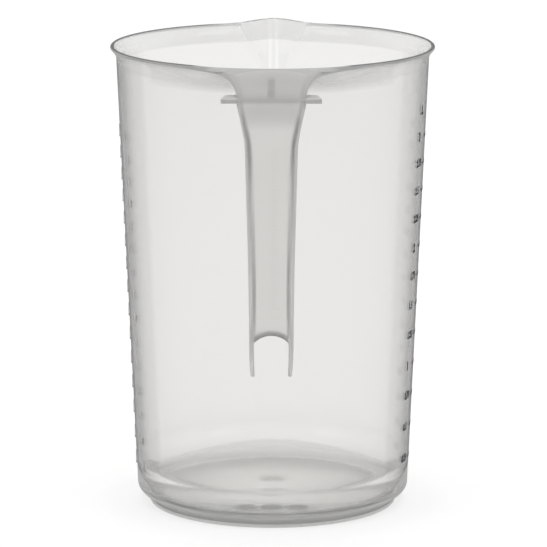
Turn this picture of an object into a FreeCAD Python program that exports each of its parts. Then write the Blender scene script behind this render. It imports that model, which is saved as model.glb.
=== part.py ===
import FreeCAD, Part
import math
import os

import Sketcher

# Three-litre nesting measuring jug with an open, hanging handle and a drawn-out
# spout. The real jug is one polypropylene moulding and a printed scale; its
# portions are built as separate solids that meet face to face. Millimetres. The
# origin is on the jug's axis at the table, +Z up, handle to -Y, spout to +Y.

DIMENSIONS = {
    "Vessel": {
        "overall_height": 238.0,
        "base_radius": 69.4,
        "mouth_radius": 79.9,
        "wall": 1.9,
    },
    "Base": {
        "heel_radius": 12.0,
        "heel_top": 14.0,
        "inner_heel_radius": 11.0,
        "floor_edge_top": 6.6,
        "floor_crown": 2.6,
        "floor_thickness": 2.2,
        "dish_radius": 12.5,
        "dish_depth": 0.4,
        "gate_radius": 1.8,
        "gate_length": 0.9,
        "foot_inset": 7.0,
        "foot_width": 3.8,
        "foot_height": 2.6,
        "foot_edge_radius": 1.4,
        "insert_radius": 6.0,
        "insert_pitch": 12.9,
        "insert_inset": 7.8,
        "insert_height": 0.3,
    },
    "Rim": {
        "flare_radius": 7.5,
        "flare_angle": 50.0,
    },
    "Spout": {
        "spout_projection": 14.6,
        "spout_nose_radius": 5.0,
        "spout_flank_angle": 45.0,
        "spout_drop": 41.0,
        "spout_low_depth": 0.8,
        "spout_low_nose_radius": 2.4,
        "spout_lip_run": 2.0,
    },
    "Shoulder": {
        "handle_standoff": 40.1,
        "sheet": 2.0,
        "shoulder_dip": 0.6,
        "shoulder_radius": 28.0,
        "root_half_width": 36.0,
        "root_fillet_radius": 34.0,
        "neck_half_width": 17.4,
        "neck_setback": 15.0,
        "side_edge_drop": 2.8,
        "rib_thickness": 2.0,
    },
    "StopPlate": {
        "plate_drop": 11.9,
        "plate_thickness": 2.0,
        "plate_back_setback": 24.0,
        "plate_front_setback": 9.0,
        "plate_back_half_width": 22.4,
        "plate_front_half_width": 24.7,
        "plate_corner_radius": 2.5,
    },
    "Grip": {
        "flange_depth": 16.0,
        "flange_splay": 1.5,
        "throat_half_width": 15.8,
        "grip_top_drop": 32.0,
        "grip_top_half_width": 11.7,
        "grip_length": 147.1,
        "grip_end_half_width": 8.7,
        "prong_length": 16.5,
        "arch_radius": 8.2,
        "shelf_depth": 8.0,
        "prong_taper_length": 24.5,
        "prong_tip_depth": 6.0,
        "prong_tip_radius": 2.6,
    },
    "Scales": {
        "scale_datum": 5.8,
        "ink_thickness": 0.12,
        "ink_line": 0.8,
        "ink_turn": 7.0,
        "ink_azimuth": -4.5,
        "ink_step": 0.25,
        "relief_step": 0.2,
        "relief_rise": 5.6,
        "relief_proud": 0.25,
        "relief_turn": 5.5,
        "relief_left_azimuth": 180.0,
        "relief_right_azimuth": 20.0,
    },
    "GripScale": {
        "tick_end_gap": 16.6,
        "tick_top_gap": 4.0,
        "tick_line": 0.7,
        "tick_proud": 0.3,
        "tick_short": 2.2,
        "tick_long_extra": 1.8,
    },
}

INK_MARKS = 12
RELIEF_MARKS = 15
GRIP_TICKS = 41
TICKS_PER_LONG_TICK = 5
CUBIC_MM_PER_LITRE = 1000000
BEYOND = 5  # how far a cutting outline runs past what it cuts
THROUGH = "(4 * dims.overall_height)"  # the length of a cut that passes through everything


def fill_sheet(doc):
    sheet = doc.addObject("Spreadsheet::Sheet", "dims")
    row = 1
    for group, entries in DIMENSIONS.items():
        sheet.set(f"A{row}", group)
        row += 1
        for alias, value in entries.items():
            sheet.set(f"A{row}", alias)
            sheet.set(f"B{row}", str(value))
            sheet.setAlias(f"B{row}", alias)
            row += 1
    doc.recompute()


# Expressions shared by several pieces, so that mating faces follow one value.


def wall_radius(height):
    slope = "(dims.mouth_radius - dims.base_radius) / dims.overall_height"
    return f"(dims.base_radius + {slope} * ({height}))"


def inner_radius(height):
    return f"({wall_radius(height)} - dims.wall)"


ABOVE_RIM = f"(dims.overall_height + {BEYOND})"
FLARE_TURN = "dims.flare_angle * 1 deg"
FLARE_MIDDLE = "(dims.flare_radius + dims.wall / 2)"
FLARE_START = f"(dims.overall_height - dims.wall / 2 - {FLARE_MIDDLE} * sin({FLARE_TURN}))"
FLARE_CENTRE = f"({wall_radius(FLARE_START)} + dims.flare_radius)"
LIP_INSIDE = "dims.flare_radius + dims.wall"
HEEL_INNER_TOP = "(dims.floor_edge_top + dims.inner_heel_radius)"
FLOOR_RADIUS = f"({inner_radius(HEEL_INNER_TOP)} - dims.inner_heel_radius)"
FLOOR_ARC = f"(({FLOOR_RADIUS} ^ 2 + dims.floor_crown ^ 2) / (2 * dims.floor_crown))"
FLOOR_CENTRE_TOP = "(dims.floor_edge_top + dims.floor_crown)"
INSERT_OFFSET = f"({FLOOR_RADIUS} - dims.insert_inset)"
FOOT_OUTER = "(dims.base_radius - dims.foot_inset)"
FOOT_INNER = f"({FOOT_OUTER} - dims.foot_width)"
SPOUT_REACH = "(dims.mouth_radius + dims.spout_projection)"
SPOUT_LOW = "(dims.overall_height - dims.spout_drop)"
HANDLE_REACH = "(dims.mouth_radius + dims.handle_standoff)"
LIP_RADIUS = f"({FLARE_CENTRE} - {FLARE_MIDDLE} * cos({FLARE_TURN}) + dims.wall / 2)"
ROOT_OFFSET = f"sqrt({LIP_RADIUS} ^ 2 - dims.root_half_width ^ 2)"
NECK_OFFSET = f"({HANDLE_REACH} - dims.neck_setback)"
SIDE_EDGE_HEIGHT = "(dims.overall_height - dims.side_edge_drop)"
SHOULDER_TOP = "(dims.overall_height - dims.shoulder_dip)"
SHOULDER_FLAT_END = f"({HANDLE_REACH} - dims.shoulder_radius)"
SHOULDER_LOW = f"({SHOULDER_TOP} - dims.shoulder_radius)"
WEB_INNER = f"({HANDLE_REACH} - dims.sheet)"
WEB_INNER_RADIUS = "(dims.shoulder_radius - dims.sheet)"
PLATE_TOP = "(dims.overall_height - dims.plate_drop)"
PLATE_BACK = f"({HANDLE_REACH} - dims.plate_back_setback)"
PLATE_FRONT = f"({HANDLE_REACH} - dims.plate_front_setback)"
PLATE_UNDERSIDE = f"({PLATE_TOP} - dims.plate_thickness)"
GRIP_TOP = "(dims.overall_height - dims.grip_top_drop)"
GRIP_END = "(dims.overall_height - dims.grip_length)"
ARCH_FOOT = f"({GRIP_END} + dims.prong_length)"
PRONG_TAPER_TOP = f"({GRIP_END} + dims.prong_taper_length)"
FLANGE_BACK = f"({HANDLE_REACH} - dims.flange_depth)"
TICK_LOW = f"({ARCH_FOOT} + dims.tick_end_gap)"
TICK_PITCH = f"(({GRIP_TOP} - dims.tick_top_gap - {TICK_LOW}) / {GRIP_TICKS - 1})"


def flare_point(distance):
    # The flare's end, at a distance from the centre of its arc.
    across = f"({FLARE_CENTRE} - ({distance}) * cos({FLARE_TURN}))"
    up = f"({FLARE_START} + ({distance}) * sin({FLARE_TURN}))"
    return across, up


def lip_tip():
    # The end of the rounded edge, midway between the flare's two faces.
    across, up = flare_point(FLARE_MIDDLE)
    half_wall = "dims.wall / 2"
    return f"({across} + {half_wall} * sin({FLARE_TURN}))", f"({up} + {half_wall} * cos({FLARE_TURN}))"


def spout_lip_half_turn():
    # From the spout's middle to where the lip is clear of the flute's flanks.
    flank = "dims.spout_flank_angle * 1 deg"
    to_flank = (
        f"(dims.spout_nose_radius + ({SPOUT_REACH} - dims.spout_nose_radius)"
        f" * sin({flank}))"
    )
    run = f"dims.spout_lip_run / {inner_radius(FLARE_START)} * 1 rad"
    return f"(asin({to_flank} / {inner_radius(FLARE_START)}) - {flank} + {run})"


SPOUT_LIP_HALF_TURN = spout_lip_half_turn()


def taper(height, top, top_value, low, low_value):
    # A width that runs straight from one height to another.
    slope = f"(({top_value}) - ({low_value})) / (({top}) - ({low}))"
    return f"(({low_value}) + {slope} * (({height}) - ({low})))"


def grip_half_width(height):
    top = (GRIP_TOP, "dims.grip_top_half_width")
    return taper(height, *top, GRIP_END, "dims.grip_end_half_width")


def throat_half_width(height):
    top = (PLATE_UNDERSIDE, "dims.throat_half_width")
    return taper(height, *top, GRIP_TOP, "dims.grip_top_half_width")


ARCH_HALF_SPAN = f"({grip_half_width(ARCH_FOOT)} - dims.sheet)"
ARCH_RISE = f"(dims.arch_radius - sqrt(dims.arch_radius ^ 2 - {ARCH_HALF_SPAN} ^ 2))"


def mark_height(litres):
    # The filling height of a volume in the tapered vessel, from the scale's datum.
    slope = "((dims.mouth_radius - dims.base_radius) / dims.overall_height)"
    low = inner_radius("dims.scale_datum")
    cubed = f"{low} ^ 3 + 3 * {slope} * ({litres}) * {CUBIC_MM_PER_LITRE} / pi"
    return f"(dims.scale_datum + (cbrt({cubed}) - {low}) / {slope})"


# Sketches: every corner and radius is a constraint bound to the sheet.


class Outline:
    def __init__(self, body, name, role, offset=None):
        self.sketch = body.newObject("Sketcher::SketchObject", name)
        plane = next(f for f in body.Origin.OriginFeatures if f.Role == role)
        self.sketch.AttachmentSupport = [(plane, "")]
        self.sketch.MapMode = "FlatFace"
        if offset:
            self.sketch.setExpression(".AttachmentOffset.Base.z", offset)
        self.sheet = body.Document.getObject("dims")

    def value(self, expression):
        return float(self.sheet.evalExpression(expression))

    def bind(self, kind, *place, to):
        datum = self.value(to)
        number = self.sketch.addConstraint(Sketcher.Constraint(kind, *place, datum))
        self.sketch.setExpression(f"Constraints[{number}]", to)

    def side(self, start, end, radius, turn):
        # A straight side or a short arc; returns its number and its two end points.
        if radius is None:
            return self.sketch.addGeometry(Part.LineSegment(start, end), False), 1, 2
        length = self.value(radius)
        along = end - start
        reach = math.sqrt(max(length**2 - along.Length**2 / 4, 0.0))
        to_centre = FreeCAD.Vector(-along.y, along.x, 0).normalize() * (reach * turn)
        centre = (start + end) * 0.5 + to_centre
        ends = (start, end) if turn > 0 else (end, start)
        angles = [math.atan2(p.y - centre.y, p.x - centre.x) for p in ends]
        circle = Part.Circle(centre, FreeCAD.Vector(0, 0, 1), length)
        number = self.sketch.addGeometry(Part.ArcOfCircle(circle, *angles), False)
        self.bind("Radius", number, to=radius)
        return (number, 1, 2) if turn > 0 else (number, 2, 1)

    def closed(self, corners):
        # A corner is (x, y), or (x, y, radius, turn) where an arc leads up to it
        # from the corner before; turn is +1 for an arc that bends to the left.
        points = [FreeCAD.Vector(self.value(c[0]), self.value(c[1]), 0) for c in corners]
        sides = []
        for index, corner in enumerate(corners):
            radius, turn = corner[2:] if len(corner) > 2 else (None, 0)
            sides.append(self.side(points[index - 1], points[index], radius, turn))
        for index, (number, start, end) in enumerate(sides):
            before, _, before_end = sides[index - 1]
            join = Sketcher.Constraint("Coincident", before, before_end, number, start)
            self.sketch.addConstraint(join)
            self.bind("DistanceX", -1, 1, number, end, to=corners[index][0])
            self.bind("DistanceY", -1, 1, number, end, to=corners[index][1])
        return self

    def circle(self, across, up, radius):
        centre = FreeCAD.Vector(self.value(across), self.value(up), 0)
        shape = Part.Circle(centre, FreeCAD.Vector(0, 0, 1), self.value(radius))
        number = self.sketch.addGeometry(shape, False)
        self.bind("DistanceX", -1, 1, number, 3, to=across)
        self.bind("DistanceY", -1, 1, number, 3, to=up)
        self.bind("Radius", number, to=radius)
        return self


def toward_handle(corners):
    # Corners given by their reach from the axis, turned over to the -Y side.
    flipped = []
    for across, up, *arc in corners:
        bend = (arc[0], -arc[1]) if arc else ()
        flipped.append((f"(-({across}))", up, *bend))
    return flipped


def on_side(side, corners):
    return [(f"({side} * ({across}))", along) for across, along in corners]


# Features.


def new_body(doc, label):
    body = doc.addObject("PartDesign::Body", label)
    body.Label = label
    body.AllowCompound = True
    return body


def turned(body, kind, name, outline, angle=None):
    made = body.newObject(f"PartDesign::{kind}", name)
    made.Profile = (outline.sketch, [""])
    made.ReferenceAxis = (outline.sketch, ["V_Axis"])
    made.Angle = 360
    if angle:
        made.Midplane = True
        made.setExpression("Angle", angle)
    return made


def extruded(body, kind, name, outline, length, both_ways=True, reverse=False):
    made = body.newObject(f"PartDesign::{kind}", name)
    made.Profile = (outline.sketch, [""])
    made.Midplane = both_ways
    made.Reversed = reverse
    made.setExpression("Length", length)
    return made


def lofted(body, kind, name, outlines):
    made = body.newObject(f"PartDesign::{kind}", name)
    made.Profile = (outlines[0].sketch, [""])
    made.Sections = [(outline.sketch, [""]) for outline in outlines[1:]]
    made.Ruled = True
    return made


# Vessel.


def base_heel(doc):
    body = new_body(doc, "base_heel")
    underside = "(dims.floor_edge_top - dims.floor_thickness)"
    section = Outline(body, "HeelSection", "XZ_Plane").closed(
        [
            (wall_radius(HEEL_INNER_TOP), HEEL_INNER_TOP),
            (wall_radius("dims.heel_top"), "dims.heel_top"),
            (FOOT_OUTER, "dims.foot_height", "dims.heel_radius", -1),
            (FOOT_INNER, "dims.foot_height"),
            (FOOT_INNER, underside),
            (FLOOR_RADIUS, underside),
            (FLOOR_RADIUS, "dims.floor_edge_top"),
            (inner_radius(HEEL_INNER_TOP), HEEL_INNER_TOP, "dims.inner_heel_radius", 1),
        ]
    )
    turned(body, "Revolution", "Heel", section)


def foot_ring(doc):
    body = new_body(doc, "foot_ring")
    section = Outline(body, "FootSection", "XZ_Plane").closed(
        [
            (FOOT_INNER, "0"),
            (f"({FOOT_OUTER} - dims.foot_edge_radius)", "0"),
            (FOOT_OUTER, "dims.foot_edge_radius", "dims.foot_edge_radius", 1),
            (FOOT_OUTER, "dims.foot_height"),
            (FOOT_INNER, "dims.foot_height"),
        ]
    )
    turned(body, "Revolution", "Foot", section)


def floor_layer(low, high):
    # A layer that follows the crowned floor, between two depths below its top face.
    return [
        ("0", f"({FLOOR_CENTRE_TOP} - {low})"),
        ("0", f"({FLOOR_CENTRE_TOP} - {high})"),
        (FLOOR_RADIUS, f"(dims.floor_edge_top - {high})", FLOOR_ARC, -1),
        (FLOOR_RADIUS, f"(dims.floor_edge_top - {low})"),
    ]


def crowned(body, name, low, high):
    corners = floor_layer(low, high)
    corners[0] = (*corners[0], FLOOR_ARC, 1)
    return Outline(body, name, "XZ_Plane").closed(corners)


def floor_panel(doc):
    body = new_body(doc, "floor_panel")
    section = crowned(body, "FloorSection", "dims.floor_thickness", "0")
    turned(body, "Revolution", "Floor", section)
    dish_bottom = f"({FLOOR_CENTRE_TOP} - dims.dish_depth)"
    above = f"({FLOOR_CENTRE_TOP} + {BEYOND})"
    dish = Outline(body, "DishSection", "XZ_Plane").closed(
        [
            ("0", dish_bottom),
            ("dims.dish_radius", dish_bottom),
            ("dims.dish_radius", above),
            ("0", above),
        ]
    )
    turned(body, "Groove", "GateDish", dish)


def gate_stub(doc):
    body = new_body(doc, "gate_stub")
    top = f"({FLOOR_CENTRE_TOP} - dims.floor_thickness)"
    low = f"({top} - dims.gate_length)"
    section = Outline(body, "GateSection", "XZ_Plane").closed(
        [("0", low), ("dims.gate_radius", low), ("dims.gate_radius", top), ("0", top)]
    )
    turned(body, "Revolution", "Gate", section)


def mould_insert_discs(doc):
    body = new_body(doc, "mould_insert_discs")
    section = crowned(body, "DiscLayerSection", "0", "(-dims.insert_height)")
    turned(body, "Revolution", "DiscLayer", section)
    around = Outline(body, "AroundDiscs", "XY_Plane")
    around.circle("0", "0", f"({FLOOR_RADIUS} + {BEYOND})")
    for place in (-1, 0, 1):
        around.circle(f"({place} * dims.insert_pitch)", f"(-{INSERT_OFFSET})", "dims.insert_radius")
    extruded(body, "Pocket", "Discs", around, THROUGH)


def vessel_wall(doc):
    body = new_body(doc, "vessel_wall")
    section = Outline(body, "WallSection", "XZ_Plane").closed(
        [
            (inner_radius(HEEL_INNER_TOP), HEEL_INNER_TOP),
            (wall_radius(HEEL_INNER_TOP), HEEL_INNER_TOP),
            (wall_radius(FLARE_START), FLARE_START),
            (inner_radius(FLARE_START), FLARE_START),
        ]
    )
    turned(body, "Revolution", "Wall", section)
    spout_flute(body, "SubtractiveLoft", "SpoutOpening", "0", ABOVE_RIM)


def lip_section(body, plane_side):
    half_wall = "(dims.wall / 2)"
    return Outline(body, "LipSection", "YZ_Plane").closed(
        plane_side(
            [
                (wall_radius(FLARE_START), FLARE_START),
                (*flare_point("dims.flare_radius"), "dims.flare_radius", -1),
                (*lip_tip(), half_wall, 1),
                (*flare_point(LIP_INSIDE), half_wall, 1),
                (inner_radius(FLARE_START), FLARE_START, f"({LIP_INSIDE})", 1),
            ]
        )
    )


def rim_lip(doc):
    body = new_body(doc, "rim_lip")
    around = f"(360 deg - 2 * {SPOUT_LIP_HALF_TURN})"
    turned(body, "Revolution", "Lip", lip_section(body, toward_handle), around)


def flute_section(body, name, height, skin):
    # A rounded V that opens into the vessel; skin is the depth below its outer face.
    low = SPOUT_LOW
    low_tip = f"({wall_radius(low)} + dims.spout_low_depth)"
    rim = "dims.overall_height"
    tip = taper(height, rim, SPOUT_REACH, low, low_tip)
    nose_radius = taper(height, rim, "dims.spout_nose_radius", low, "dims.spout_low_nose_radius")
    flank = "dims.spout_flank_angle * 1 deg"
    radius = f"({nose_radius} - {skin})"
    nose_half = f"({radius} * cos({flank}))"
    nose_side = f"({tip} - {nose_radius} + {radius} * sin({flank}))"
    root = f"({inner_radius(height)} - 2 * {BEYOND})"
    root_half = f"({nose_half} + ({nose_side} - {root}) * tan({flank}))"
    corners = [
        (root_half, root),
        (nose_half, nose_side),
        (f"(-{nose_half})", nose_side, radius, 1),
        (f"(-{root_half})", root),
    ]
    return Outline(body, name, "XY_Plane", height).closed(corners)


def spout_flute(body, kind, name, skin, top):
    sections = [
        flute_section(body, name + "Low", SPOUT_LOW, skin),
        flute_section(body, name + "High", top, skin),
    ]
    return lofted(body, kind, name, sections)


def pouring_spout(doc):
    # The drawn-out flute with the stretches of lip that run into its flanks.
    body = new_body(doc, "pouring_spout")
    spout_flute(body, "AdditiveLoft", "Flute", "0", "dims.overall_height")
    turned(body, "Revolution", "Lip", lip_section(body, list), f"(2 * {SPOUT_LIP_HALF_TURN})")
    spout_flute(body, "SubtractiveLoft", "FluteChannel", "dims.wall", ABOVE_RIM)
    low = f"({SPOUT_LOW} - {BEYOND})"
    lip_inside = flare_point(LIP_INSIDE)
    inside = Outline(body, "InsideOfWall", "YZ_Plane").closed(
        [
            ("0", low),
            (inner_radius(low), low),
            (inner_radius(FLARE_START), FLARE_START),
            (*lip_inside, f"({LIP_INSIDE})", -1),
            (lip_inside[0], ABOVE_RIM),
            ("0", ABOVE_RIM),
        ]
    )
    turned(body, "Groove", "Inside", inside)


# Handle. Profiles in the YZ plane are given by their reach from the axis.


def clear_vessel(body):
    # Takes away whatever lies within the outer face of the wall, flare and lip.
    tip_across, tip_up = lip_tip()
    envelope = Outline(body, "VesselEnvelope", "XZ_Plane").closed(
        [
            ("0", GRIP_TOP),
            (wall_radius(GRIP_TOP), GRIP_TOP),
            (wall_radius(FLARE_START), FLARE_START),
            (*flare_point("dims.flare_radius"), "dims.flare_radius", -1),
            (tip_across, tip_up, "(dims.wall / 2)", 1),
            (tip_across, ABOVE_RIM),
            ("0", ABOVE_RIM),
        ]
    )
    turned(body, "Groove", "ClearOfVessel", envelope)


def clear_front_skin(body, down_to):
    # Takes away what would lie in or beyond the shoulder sheet and the grip's web.
    under_sheet = f"({SHOULDER_TOP} - dims.sheet)"
    beyond = f"({HANDLE_REACH} + {BEYOND})"
    skin = Outline(body, "FrontSkin", "YZ_Plane").closed(
        toward_handle(
            [
                ("dims.neck_half_width", under_sheet),
                (SHOULDER_FLAT_END, under_sheet),
                (WEB_INNER, SHOULDER_LOW, WEB_INNER_RADIUS, -1),
                (WEB_INNER, down_to),
                (beyond, down_to),
                (beyond, ABOVE_RIM),
                ("dims.neck_half_width", ABOVE_RIM),
            ]
        )
    )
    extruded(body, "Pocket", "ClearOfFrontSkin", skin, THROUGH)


def shoulder_half_plan():
    # The shoulder seen from above, from the rim out to the front: x and reach.
    return [
        ("dims.root_half_width", ROOT_OFFSET),
        ("dims.neck_half_width", NECK_OFFSET),
        ("dims.throat_half_width", f"({HANDLE_REACH} + {BEYOND})"),
    ]


def handle_shoulder(doc):
    body = new_body(doc, "handle_shoulder")
    under_sheet = f"({SHOULDER_TOP} - dims.sheet)"
    inboard = "dims.base_radius"
    profile = Outline(body, "ShoulderProfile", "YZ_Plane").closed(
        toward_handle(
            [
                (inboard, SHOULDER_TOP),
                (SHOULDER_FLAT_END, SHOULDER_TOP),
                (HANDLE_REACH, SHOULDER_LOW, "dims.shoulder_radius", -1),
                (WEB_INNER, SHOULDER_LOW),
                (SHOULDER_FLAT_END, under_sheet, WEB_INNER_RADIUS, 1),
                (inboard, under_sheet),
            ]
        )
    )
    extruded(body, "Pad", "Shoulder", profile, "2 * dims.root_half_width")

    root, neck, front = shoulder_half_plan()
    wide = f"(dims.root_half_width + {BEYOND})"
    for side in (-1, 1):
        plan = Outline(body, "BesideShoulder", "XY_Plane").closed(
            [
                (f"({side} * {root[0]})", f"(-{root[1]})"),
                (f"({side} * {neck[0]})", f"(-{neck[1]})", "dims.root_fillet_radius", side),
                (f"({side} * {front[0]})", f"(-{front[1]})"),
                (f"({side} * {wide})", f"(-{front[1]})"),
                (f"({side} * {wide})", f"(-{root[1]})"),
            ]
        )
        extruded(body, "Pocket", "ShoulderPlan", plan, THROUGH)

        throat = [
            (throat_half_width(SHOULDER_LOW), SHOULDER_LOW),
            (throat_half_width(PLATE_TOP), PLATE_TOP),
            (wide, PLATE_TOP),
            (wide, SHOULDER_LOW),
        ]
        front_view = Outline(body, "BesideThroat", "XZ_Plane").closed(on_side(side, throat))
        extruded(body, "Pocket", "Throat", front_view, THROUGH)
    clear_vessel(body)


def shoulder_side(doc, label, side):
    body = new_body(doc, label)
    root, neck, front = shoulder_half_plan()
    inward = f"(1 - dims.sheet / sqrt({root[0]} ^ 2 + {root[1]} ^ 2))"
    plan = Outline(body, "SidePlan", "XY_Plane", PLATE_TOP).closed(
        [
            (f"({side} * {root[0]})", f"(-{root[1]})"),
            (f"({side} * {neck[0]})", f"(-{neck[1]})", "dims.root_fillet_radius", side),
            (f"({side} * {front[0]})", f"(-{front[1]})"),
            (f"({side} * ({front[0]} - dims.sheet))", f"(-{front[1]})"),
            (f"({side} * ({neck[0]} - dims.sheet))", f"(-{neck[1]})"),
            (
                f"({side} * {root[0]} * {inward})",
                f"(-{root[1]} * {inward})",
                "(dims.root_fillet_radius + dims.sheet)",
                -side,
            ),
        ]
    )
    height = f"(dims.overall_height - {PLATE_TOP})"
    extruded(body, "Pad", "Side", plan, height, both_ways=False)
    clear_front_skin(body, f"({SHOULDER_LOW} - {BEYOND})")

    inboard = "dims.base_radius"
    edge = taper(inboard, root[1], SIDE_EDGE_HEIGHT, FLANGE_BACK, PLATE_TOP)
    below = f"({PLATE_TOP} - {BEYOND})"
    under_edge = Outline(body, "UnderSideEdge", "YZ_Plane").closed(
        toward_handle(
            [(FLANGE_BACK, below), (FLANGE_BACK, PLATE_TOP), (inboard, edge), (inboard, below)]
        )
    )
    extruded(body, "Pocket", "SideEdge", under_edge, THROUGH)
    clear_vessel(body)


def shoulder_rib(doc):
    body = new_body(doc, "shoulder_rib")
    profile = Outline(body, "RibProfile", "YZ_Plane").closed(
        toward_handle(
            [
                ("dims.base_radius", PLATE_TOP),
                (HANDLE_REACH, PLATE_TOP),
                (HANDLE_REACH, SHOULDER_TOP),
                ("dims.base_radius", SHOULDER_TOP),
            ]
        )
    )
    extruded(body, "Pad", "Rib", profile, "dims.rib_thickness")
    clear_front_skin(body, f"({SHOULDER_LOW} - {BEYOND})")
    clear_vessel(body)


def stop_plate(doc):
    body = new_body(doc, "stop_plate")
    half = [
        ("dims.plate_back_half_width", f"(-{PLATE_BACK})"),
        ("dims.plate_front_half_width", f"(-{PLATE_FRONT})"),
        ("dims.throat_half_width", f"(-{PLATE_FRONT})"),
        ("dims.throat_half_width", f"(-{HANDLE_REACH})"),
    ]
    corners = half + on_side(-1, reversed(half))
    plan = Outline(body, "PlatePlan", "XY_Plane", PLATE_UNDERSIDE).closed(corners)
    extruded(body, "Pad", "Plate", plan, "dims.plate_thickness", both_ways=False)
    clear_front_skin(body, f"({SHOULDER_LOW} - {BEYOND})")
    doc.recompute()

    cut = body.Tip
    wing_middle = "(dims.throat_half_width + dims.plate_back_half_width) / 2"
    corners = upright_edges(cut.Shape, doc.getObject("dims").evalExpression(wing_middle))
    rounded = body.newObject("PartDesign::Fillet", "WingCorners")
    rounded.Base = (cut, corners)
    rounded.setExpression("Radius", "dims.plate_corner_radius")


def upright_edges(shape, past):
    # The names of the upright edges that lie further than this from the middle plane.
    names = []
    for number, edge in enumerate(shape.Edges, start=1):
        box = edge.BoundBox
        upright = box.ZLength > max(box.XLength, box.YLength)
        if upright and abs(box.Center.x) > past:
            names.append(f"Edge{number}")
    return names


def flange_section(body, name, side, height, half_width, overhang):
    splay = f"({half_width} + dims.flange_splay)"
    return Outline(body, name, "XY_Plane", height).closed(
        on_side(
            side,
            [
                (f"({splay} + {overhang})", f"(-{FLANGE_BACK})"),
                (f"({half_width} + {overhang})", f"(-{HANDLE_REACH})"),
                (f"({half_width} - dims.sheet)", f"(-{HANDLE_REACH})"),
                (f"({splay} - dims.sheet)", f"(-{FLANGE_BACK})"),
            ],
        )
    )


def flange_volume(body, kind, name, side, overhang="0"):
    # One side of the grip's channel; overhang thickens it outwards when it cuts.
    levels = [
        (PLATE_UNDERSIDE, "dims.throat_half_width"),
        (GRIP_TOP, "dims.grip_top_half_width"),
        (GRIP_END, "dims.grip_end_half_width"),
    ]
    sections = []
    for number, (height, half_width) in enumerate(levels):
        part_name = f"{name}Level{number}"
        sections.append(flange_section(body, part_name, side, height, half_width, overhang))
    return lofted(body, kind, name, sections)


def grip_flange(doc, label, side):
    body = new_body(doc, label)
    flange_volume(body, "AdditiveLoft", "Flange", side)
    clear_front_skin(body, ARCH_FOOT)

    tip_back = f"({HANDLE_REACH} - dims.prong_tip_depth)"
    tip_side = f"({GRIP_END} + dims.prong_tip_radius)"
    behind = f"({FLANGE_BACK} - {BEYOND})"
    below = f"({GRIP_END} - {BEYOND})"
    tip_end = f"({tip_back} + dims.prong_tip_radius)"
    behind_prong = Outline(body, "BehindProng", "YZ_Plane").closed(
        toward_handle(
            [
                (FLANGE_BACK, PRONG_TAPER_TOP),
                (tip_back, tip_side),
                (tip_end, GRIP_END, "dims.prong_tip_radius", 1),
                (tip_end, below),
                (behind, below),
                (behind, PRONG_TAPER_TOP),
            ]
        )
    )
    extruded(body, "Pocket", "Prong", behind_prong, THROUGH)


def grip_web(doc):
    body = new_body(doc, "grip_web")
    half = [
        (throat_half_width(SHOULDER_LOW), SHOULDER_LOW),
        ("dims.grip_top_half_width", GRIP_TOP),
        (grip_half_width(ARCH_FOOT), ARCH_FOOT),
    ]
    arch = [
        (ARCH_HALF_SPAN, ARCH_FOOT),
        (f"(-{ARCH_HALF_SPAN})", ARCH_FOOT, "dims.arch_radius", 1),
    ]
    corners = half + arch + on_side(-1, reversed(half))
    front_view = Outline(body, "WebFront", "XZ_Plane", WEB_INNER).closed(corners)
    extruded(body, "Pad", "Web", front_view, "dims.sheet", both_ways=False)


def grip_end_shelf(doc):
    # The web's lower edge, turned inwards as an arched shelf between the flanges.
    body = new_body(doc, "grip_end_shelf")
    reach = f"({grip_half_width(ARCH_FOOT)} + dims.flange_splay)"
    rise = f"({ARCH_RISE} + dims.sheet)"
    outer_arc = f"(({reach} ^ 2 + {rise} ^ 2) / (2 * {rise}))"
    front_view = Outline(body, "ShelfFront", "XZ_Plane", WEB_INNER).closed(
        [
            (ARCH_HALF_SPAN, ARCH_FOOT),
            (f"(-{ARCH_HALF_SPAN})", ARCH_FOOT, "dims.arch_radius", 1),
            (f"(-{reach})", ARCH_FOOT),
            (reach, ARCH_FOOT, outer_arc, -1),
        ]
    )
    extruded(body, "Pad", "Shelf", front_view, "dims.shelf_depth", both_ways=False, reverse=True)
    for side in (-1, 1):
        flange_volume(body, "SubtractiveLoft", "BetweenFlanges", side, "dims.sheet")


# Scales.


def grip_tick_scale(doc):
    body = new_body(doc, "grip_tick_scale")
    rows = [
        ("ShortTick", "0", "dims.tick_short", GRIP_TICKS, TICK_PITCH),
        (
            "LongTick",
            "dims.tick_short",
            "(dims.tick_short + dims.tick_long_extra)",
            GRIP_TICKS // TICKS_PER_LONG_TICK + 1,
            f"{TICK_PITCH} * {TICKS_PER_LONG_TICK}",
        ),
    ]
    for name, left, right, count, pitch in rows:
        top = f"({TICK_LOW} + dims.tick_line)"
        face = Outline(body, name + "Face", "XZ_Plane", HANDLE_REACH).closed(
            [(left, TICK_LOW), (right, TICK_LOW), (right, top), (left, top)]
        )
        tick = extruded(body, "Pad", name, face, "dims.tick_proud", both_ways=False)
        row = body.newObject("PartDesign::LinearPattern", name + "Row")
        row.Originals = [tick]
        row.Direction = (face.sketch, ["V_Axis"])
        row.Occurrences = count
        row.setExpression("Length", f"({pitch}) * {count - 1}")
        body.Tip = row


def scale_body(doc, label, azimuth):
    body = new_body(doc, label)
    upright = FreeCAD.Vector(0, 0, 1)
    body.Placement = FreeCAD.Placement(FreeCAD.Vector(), FreeCAD.Rotation(upright, 1))
    body.setExpression(".Placement.Rotation.Angle", f"{azimuth} * 1 deg")
    return body


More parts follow.
